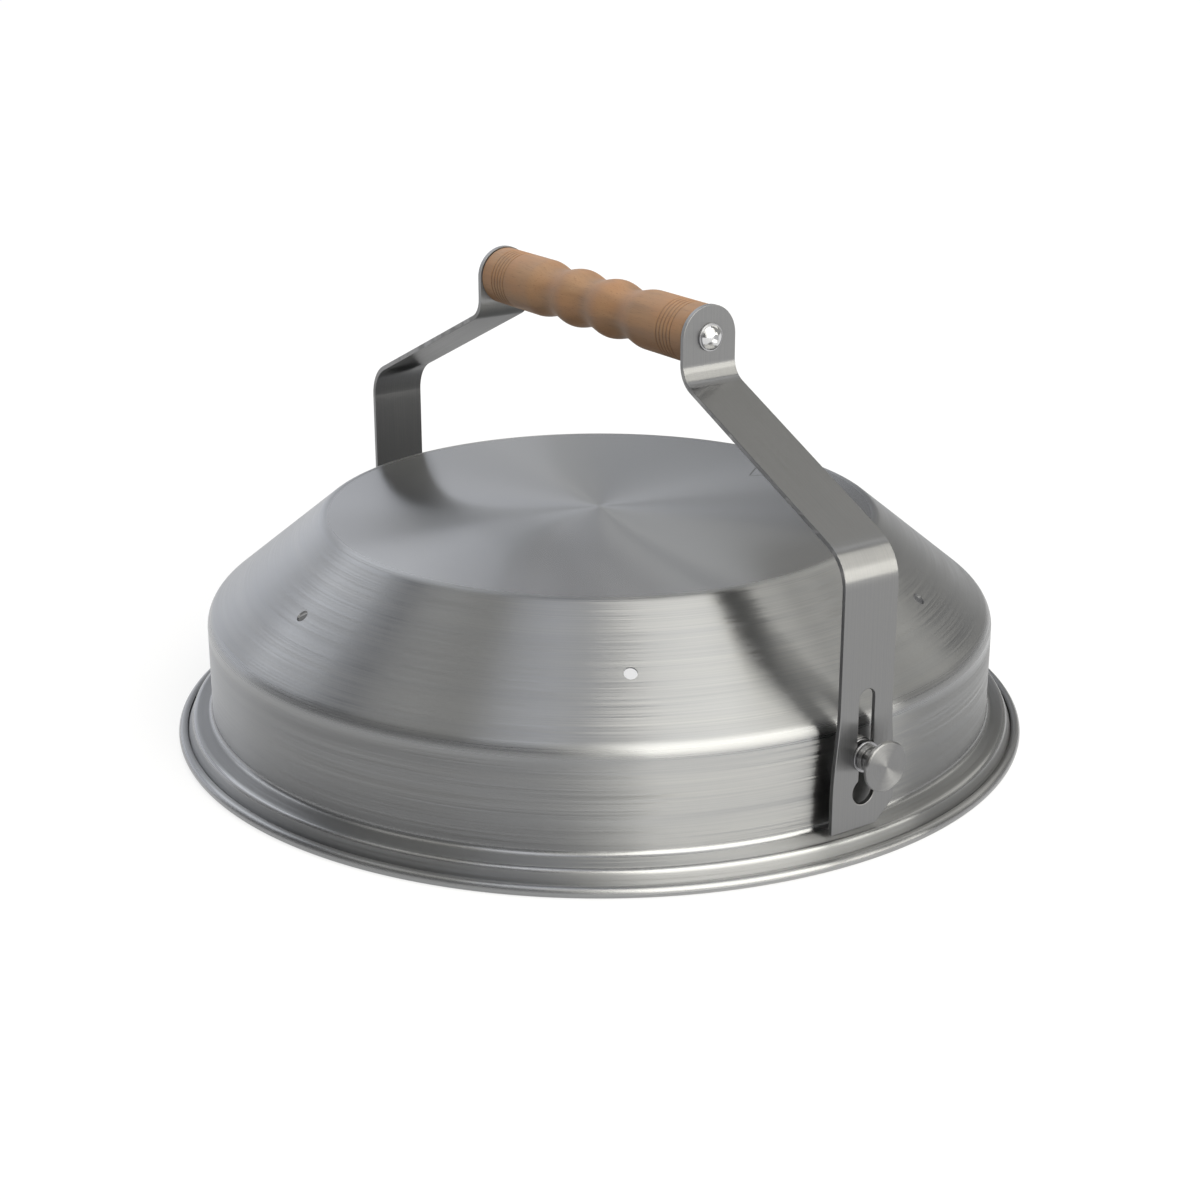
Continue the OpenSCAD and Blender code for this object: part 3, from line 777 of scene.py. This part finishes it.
# %% [markdown]
# A tree needs an object to work on. The object only carries it: the result is taken off as a
# plain mesh and the carrier is thrown away. The mesh is then shaded smoothly, with creases at
# the edges of the holes, and becomes a piece that rides on its body, takes a finish and
# stands for its CAD node.

# %% From a tree to a piece
def as_plain_mesh(carrier):
    """What an object's modifiers make of its mesh. The object is removed."""
    ready = carrier.evaluated_get(bpy.context.evaluated_depsgraph_get())
    plain = bpy.data.meshes.new_from_object(ready)
    bpy.data.objects.remove(carrier)
    return plain


def grow(name, tree, values, mesh=None):
    """Run a geometry tree with its named inputs, and keep the result as a plain mesh."""
    carrier = bpy.data.objects.new(name, mesh or bpy.data.meshes.new(name))
    bpy.context.collection.objects.link(carrier)
    step = carrier.modifiers.new(name, "NODES")
    step.node_group = tree
    inputs = [item for item in tree.interface.items_tree if item.in_out == "INPUT"]
    known = {item.name: item.identifier for item in inputs}
    for label, value in values.items():
        step[known[label]] = value
    plain = as_plain_mesh(carrier)
    plain.name = name
    return plain


def smooth(mesh, crease):
    """Shade smoothly, with creases where faces meet at more than an angle in degrees."""
    mesh.shade_smooth()
    mesh.set_sharp_from_angle(angle=radians(crease))


def place_piece(name, mesh, body, node):
    """Make a finished mesh a piece: it rides on a body and stands for a CAD node."""
    piece = bpy.data.objects.new(name, mesh)
    bpy.context.collection.objects.link(piece)
    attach(piece, body)
    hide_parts(node)
    return piece


DOME_CREASE = 32
CUTTER_LENGTH = 8 * MM
CONE_TILT = atan2(TOP_Z - SHOULDER_Z, SKIRT_R - TOP_R)
VENTS = {"Hole count": 6, "First turn": radians(30), "Hole diameter": 5.2 * MM, "Tilt": CONE_TILT,
         "Ring radius": (SKIRT_R + TOP_R) / 2 * MM, "Ring height": (SHOULDER_Z + TOP_Z) / 2 * MM,
         "Cutter length": CUTTER_LENGTH}
BOSS_HOLES = {"Hole count": 2, "First turn": 0.0, "Hole diameter": 9.1 * MM, "Tilt": pi / 2,
              "Ring radius": SKIRT_R * MM, "Ring height": PIVOT_Z, "Cutter length": CUTTER_LENGTH}
shell = grow("dome_vented", piercing, VENTS, shell)
shell = grow("dome_spun", piercing, BOSS_HOLES, shell)
smooth(shell, DOME_CREASE)
place_piece("dome_spun", shell, "lid", "dome")
print("dome faces:", len(shell.polygons))

# %% [markdown]
# The grip is a length of wood turned between centres. Three shallow valleys take the fingers,
# and five rings cut at each end with the corner of a chisel keep the palm from slipping. Its
# radius follows a rule all along its axis, so it can be grown from a straight line: resample
# the line, give every point a radius by the rule, and sweep a circle along it. The valleys
# are waves of a cosine, and the rings are sharp notches at an even pitch.

# %% The rule of the grip's radius
def finger_valleys(tree, given, x, out):
    """How deep the finger valleys are at each point of the axis: one wave for each valley."""
    waves = add(tree, "ShaderNodeMath", [x, given["Valley pitch"]], operation="DIVIDE")
    phase = add(tree, "ShaderNodeMath", [waves, 2 * pi], operation="MULTIPLY")
    wave = add(tree, "ShaderNodeMath", [phase], operation="COSINE")
    wave = add(tree, "ShaderNodeMath", [wave, 0.5, 0.5], operation="MULTIPLY_ADD")
    span = add(tree, "ShaderNodeMath", [given["Valley pitch"], given["Valley count"]],
               operation="MULTIPLY")
    reach = add(tree, "ShaderNodeMath", [span, 0.5], operation="MULTIPLY")
    within = add(tree, "ShaderNodeMath", [out, reach], operation="LESS_THAN")
    valley = add(tree, "ShaderNodeMath", [wave, within], operation="MULTIPLY")
    return add(tree, "ShaderNodeMath", [valley, given["Valley depth"]], operation="MULTIPLY")


def ring_grooves(tree, given, inset):
    """How far each point is into a ring groove, from 0 at its edges to 1 at its bottom."""
    past = add(tree, "ShaderNodeMath", [inset, given["Groove start"]], operation="SUBTRACT")
    count = add(tree, "ShaderNodeMath", [past, given["Groove pitch"]], operation="DIVIDE")
    last = add(tree, "ShaderNodeMath", [given["Groove count"], 1.0], operation="SUBTRACT")
    nearest = add(tree, "ShaderNodeMath", [count], operation="ROUND")
    nearest = add(tree, "ShaderNodeMath", [nearest, 0.0], operation="MAXIMUM")
    nearest = add(tree, "ShaderNodeMath", [nearest, last], operation="MINIMUM")
    away = add(tree, "ShaderNodeMath", [count, nearest], operation="SUBTRACT")
    away = add(tree, "ShaderNodeMath", [away], operation="ABSOLUTE")
    away = add(tree, "ShaderNodeMath", [away, given["Groove pitch"]], operation="MULTIPLY")
    half = add(tree, "ShaderNodeMath", [given["Groove width"], 0.5], operation="MULTIPLY")
    away = add(tree, "ShaderNodeMath", [away, half], operation="DIVIDE")
    notch = add(tree, "ShaderNodeMath", [1.0, away], operation="SUBTRACT")
    return add(tree, "ShaderNodeMath", [notch, 0.0], operation="MAXIMUM")


def grip_radius(tree, given, cuts):
    """Radius of the grip at each point, less the depth of every cut."""
    radius = add(tree, "ShaderNodeMath", [given["Diameter"], 0.5], operation="MULTIPLY")
    for cut in cuts:
        radius = add(tree, "ShaderNodeMath", [radius, cut], operation="SUBTRACT")
    return radius


print("the rule has waves for the fingers and notches for the rings")

# %% [markdown]
# How far a point is into a ring groove is also stored on it, under the name groove, which the
# wood's material reads to paint shade into it. Last, each end is bored for its brass insert, by
# one drill that is copied to both ends. Half of the drill lies outside, so it is twice as long as
# the bore is deep.

# %% A tree that turns the grip
def bored(tree, given, blank, ends):
    """Take a bore out of a blank at each of its ends."""
    radius = add(tree, "ShaderNodeMath", [given["Bore diameter"], 0.5], operation="MULTIPLY")
    length = add(tree, "ShaderNodeMath", [given["Bore depth"], 2.0], operation="MULTIPLY")
    drill = add(tree, "GeometryNodeMeshCylinder",
                {"Vertices": CUTTER_SIDES, "Radius": radius, "Depth": length})
    drill = add(tree, "GeometryNodeTransform", {"Geometry": drill, "Rotation": (0.0, pi / 2, 0.0)})
    both = add(tree, "GeometryNodeJoinGeometry")
    for spot in ends:
        moved = add(tree, "GeometryNodeTransform", {"Geometry": drill, "Translation": spot})
        tree.links.new(moved.outputs[0], both.inputs[0])
    return add(tree, "GeometryNodeMeshBoolean", [blank, both], operation="DIFFERENCE", solver="EXACT")


def lathe_tree():
    """Straight line along X with a radius for each point, swept by a circle and bored."""
    tree, given = new_tree("turned_grip", [
        ("Length", NUMBER), ("Diameter", NUMBER), ("Axis height", NUMBER),
        ("Points along", WHOLE), ("Points round", WHOLE),
        ("Valley depth", NUMBER), ("Valley pitch", NUMBER), ("Valley count", NUMBER),
        ("Groove start", NUMBER), ("Groove pitch", NUMBER), ("Groove count", NUMBER),
        ("Groove width", NUMBER), ("Groove depth", NUMBER), ("Chamfer", NUMBER),
        ("Bore diameter", NUMBER), ("Bore depth", NUMBER)])
    right = add(tree, "ShaderNodeMath", [given["Length"], 2.0], operation="DIVIDE")
    left = add(tree, "ShaderNodeMath", [right, -1.0], operation="MULTIPLY")
    ends = [add(tree, "ShaderNodeCombineXYZ", {"X": x, "Z": given["Axis height"]}) for x in (left, right)]
    line = add(tree, "GeometryNodeCurvePrimitiveLine", {"Start": ends[0], "End": ends[1]})
    line = add(tree, "GeometryNodeResampleCurve", {"Curve": line, "Count": given["Points along"]})
    where = add(tree, "GeometryNodeInputPosition")
    x = add(tree, "ShaderNodeSeparateXYZ", [where])
    out = add(tree, "ShaderNodeMath", [x], operation="ABSOLUTE")
    inset = add(tree, "ShaderNodeMath", [right, out], operation="SUBTRACT")

    valley = finger_valleys(tree, given, x, out)
    notch = ring_grooves(tree, given, inset)
    line = add(tree, "GeometryNodeStoreNamedAttribute",
               {"Geometry": line, "Name": "groove", "Value": notch}, data_type="FLOAT", domain="POINT")
    notch = add(tree, "ShaderNodeMath", [notch, given["Groove depth"]], operation="MULTIPLY")
    chamfer = add(tree, "ShaderNodeMath", [given["Chamfer"], inset], operation="SUBTRACT")
    chamfer = add(tree, "ShaderNodeMath", [chamfer, 0.0], operation="MAXIMUM")
    radius = grip_radius(tree, given, (valley, notch, chamfer))

    circle = add(tree, "GeometryNodeCurvePrimitiveCircle",
                 {"Resolution": given["Points round"], "Radius": 1.0})
    blank = add(tree, "GeometryNodeCurveToMesh",
                {"Curve": line, "Profile Curve": circle, "Scale": radius, "Fill Caps": True})
    whole = add(tree, "GeometryNodeRealizeInstances", [bored(tree, given, blank, ends)])
    finish = add(tree, "GeometryNodeSetMaterial", {"Geometry": whole, "Material": wood})
    add(tree, "NodeGroupOutput", [finish])
    return tree


GRIP_CREASE = 35
GRIP_SIZES = {
    "Length": 144 * MM, "Diameter": 24 * MM, "Axis height": GRIP_Z, "Chamfer": 0.8 * MM,
    "Points along": 721, "Points round": 72,
    "Valley depth": 2 * MM, "Valley pitch": 25.5 * MM, "Valley count": 3.0,
    "Groove start": 8 * MM, "Groove pitch": 2.2 * MM, "Groove count": 5.0,
    "Groove width": 1 * MM, "Groove depth": 0.5 * MM,
    "Bore diameter": 8.1 * MM, "Bore depth": 15.1 * MM,
}
grip = grow("grip_turned", lathe_tree(), GRIP_SIZES)
smooth(grip, GRIP_CREASE)
place_piece("grip_turned", grip, "handle", "grip")
print("grip faces:", len(grip.polygons))

# %% [markdown]
# No real edge is perfectly sharp. Strip is tumbled after it is cut, washers are stamped, and
# a turned screw has its edges broken, and each of those edges shows as a thin bright line.
# The other pieces keep their CAD shape. A CAD mesh is a heap of loose triangles, on which a
# bevel would find no edges, so a copy of each is joined up and freed of the lines across its
# flat faces. Then it is given a narrow bevel, and shaded by the area of its faces, which
# keeps the flat faces flat.

# %% Hard pieces with their edges broken
WELD = 0.001 * MM
FLAT_WITHIN = 0.2  # degrees
HARD_CREASE = 28
EDGE_STEPS = 2


def joined_up(node):
    """Copy of a CAD node's mesh with its triangles merged into whole faces."""
    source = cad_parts[node].data
    points = [v.co.copy() for v in source.vertices]
    mesh = bpy.data.meshes.new(node)
    mesh.from_pydata(points, [], [list(f.vertices) for f in source.polygons])
    shape = bmesh.new()
    shape.from_mesh(mesh)
    bmesh.ops.remove_doubles(shape, verts=shape.verts, dist=WELD)
    bmesh.ops.dissolve_limit(shape, angle_limit=radians(FLAT_WITHIN),
                             verts=shape.verts, edges=shape.edges)
    shape.to_mesh(mesh)
    shape.free()
    return mesh


def broken_edges(node, width, metal):
    """Copy of a CAD node with its sharp edges rounded over a width in millimetres."""
    mesh = joined_up(node)
    smooth(mesh, HARD_CREASE)
    carrier = bpy.data.objects.new(node, mesh)
    bpy.context.collection.objects.link(carrier)
    edge = carrier.modifiers.new("edge", "BEVEL")
    edge.width = width * MM
    edge.segments = EDGE_STEPS
    edge.limit_method = "ANGLE"
    edge.angle_limit = radians(HARD_CREASE)
    edge.use_clamp_overlap = True
    evened = carrier.modifiers.new("evened", "WEIGHTED_NORMAL")
    evened.keep_sharp = True
    plain = as_plain_mesh(carrier)
    plain.materials.clear()
    plain.materials.append(metal)
    return plain


print("edges are rounded in", EDGE_STEPS, "steps")

# %% [markdown]
# Each kind of hardware comes as a right and a left one, so one table and two loops finish all
# twenty. The thumb screws turn on their own, so each rides on a body of its own.

# %% Twenty pieces of hardware
HARDWARE = [
    # piece, body, slot, finish, width of the broken edge in millimetres
    ("arm", "handle", "strap_steel", arm_steel, 0.25),
    ("knob", "knob", "knob_steel", knob_steel, 0.12),
    ("outer_washer", "slider", "washer_steel", washer_steel, 0.15),
    ("inner_washer", "slider", "washer_steel", washer_steel, 0.15),
    ("pivot_boss", "lid", "turned_steel", knob_steel, 0.2),
    ("boss_washer", "lid", "washer_steel", washer_steel, 0.15),
    ("boss_nut", "lid", "turned_steel", knob_steel, 0.2),
    ("grip_insert", "handle", "insert_brass", brass, 0.15),
    ("grip_washer", "handle", "washer_steel", top_washer_steel, 0.15),
    ("grip_screw", "handle", "screw_steel", screw_steel, 0.12),
]
for stem, body, slot, metal, width in HARDWARE:
    for hand in ("right", "left"):
        node = stem + "_" + hand
        rider = body + "_" + hand if body == "knob" else body
        place_piece(node + "_finished", broken_edges(node, width, metal), rider, node)
print("finished pieces:", 2 * len(HARDWARE))
